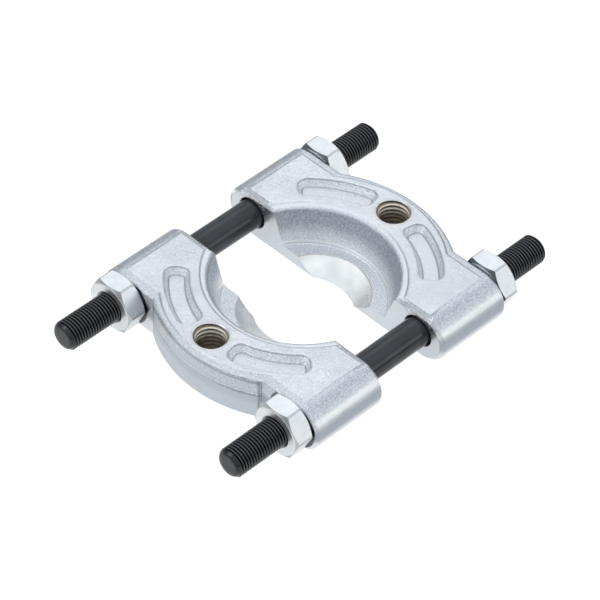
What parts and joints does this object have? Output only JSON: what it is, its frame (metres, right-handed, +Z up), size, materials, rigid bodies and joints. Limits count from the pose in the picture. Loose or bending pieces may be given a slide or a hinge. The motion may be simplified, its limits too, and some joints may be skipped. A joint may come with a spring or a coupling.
{
  "type": "bearing separator",
  "caption": "Two-piece bearing separator: forged jaws with a stepped round throat and knife edge, drawn together by nuts on two threaded studs.",
  "frame": {"origin": "on the plane that the halves rest on, under the middle of the studs", "axes": "+X along the studs, +Y across them, +Z up, away from the resting face"},
  "size_m": [0.188, 0.1332, 0.0248],
  "materials": {
    "plated_steel": "satin bright plating over a forged skin",
    "bright_steel": "bright satin plating",
    "black_steel": "black oxide, oiled"
  },
  "bodies": {
    "studs": {"front_stud": "black_steel", "back_stud": "black_steel"},
    "left_half": {"left_half": "plated_steel"},
    "right_half": {"right_half": "plated_steel"},
    "front_left_nut": {"front_left_nut": "bright_steel"},
    "back_left_nut": {"back_left_nut": "bright_steel"},
    "front_right_nut": {"front_right_nut": "bright_steel"},
    "back_right_nut": {"back_right_nut": "bright_steel"}
  },
  "joints": [
    {"name": "right_half_slide", "type": "slide", "parent": "studs", "child": "right_half", "axis": [1, 0, 0], "range_m": [-0.018, 0.024]},
    {"name": "front_right_nut_turn", "type": "hinge", "parent": "right_half", "child": "front_right_nut", "pos_m": [0.05845, -0.05155, 0.0125], "axis": [1, 0, 0], "range_deg": [-4320, 5760]},
    {"name": "back_right_nut_turn", "type": "hinge", "parent": "right_half", "child": "back_right_nut", "pos_m": [0.05845, 0.05155, 0.0125], "axis": [1, 0, 0], "range_deg": [-4320, 5760]},
    {"name": "left_half_slide", "type": "slide", "parent": "studs", "child": "left_half", "axis": [1, 0, 0], "range_m": [-0.024, 0.018]},
    {"name": "front_left_nut_turn", "type": "hinge", "parent": "left_half", "child": "front_left_nut", "pos_m": [-0.06695, -0.05155, 0.0125], "axis": [1, 0, 0], "range_deg": [-5760, 4320]},
    {"name": "back_left_nut_turn", "type": "hinge", "parent": "left_half", "child": "back_left_nut", "pos_m": [-0.06695, 0.05155, 0.0125], "axis": [1, 0, 0], "range_deg": [-5760, 4320]}
  ],
  "couplings": [
    {"joint": "front_right_nut_turn", "follows": "right_half_slide", "rad_per_m": 4188.8},
    {"joint": "back_right_nut_turn", "follows": "right_half_slide", "rad_per_m": 4188.8},
    {"joint": "front_left_nut_turn", "follows": "left_half_slide", "rad_per_m": 4188.8},
    {"joint": "back_left_nut_turn", "follows": "left_half_slide", "rad_per_m": 4188.8}
  ]
}
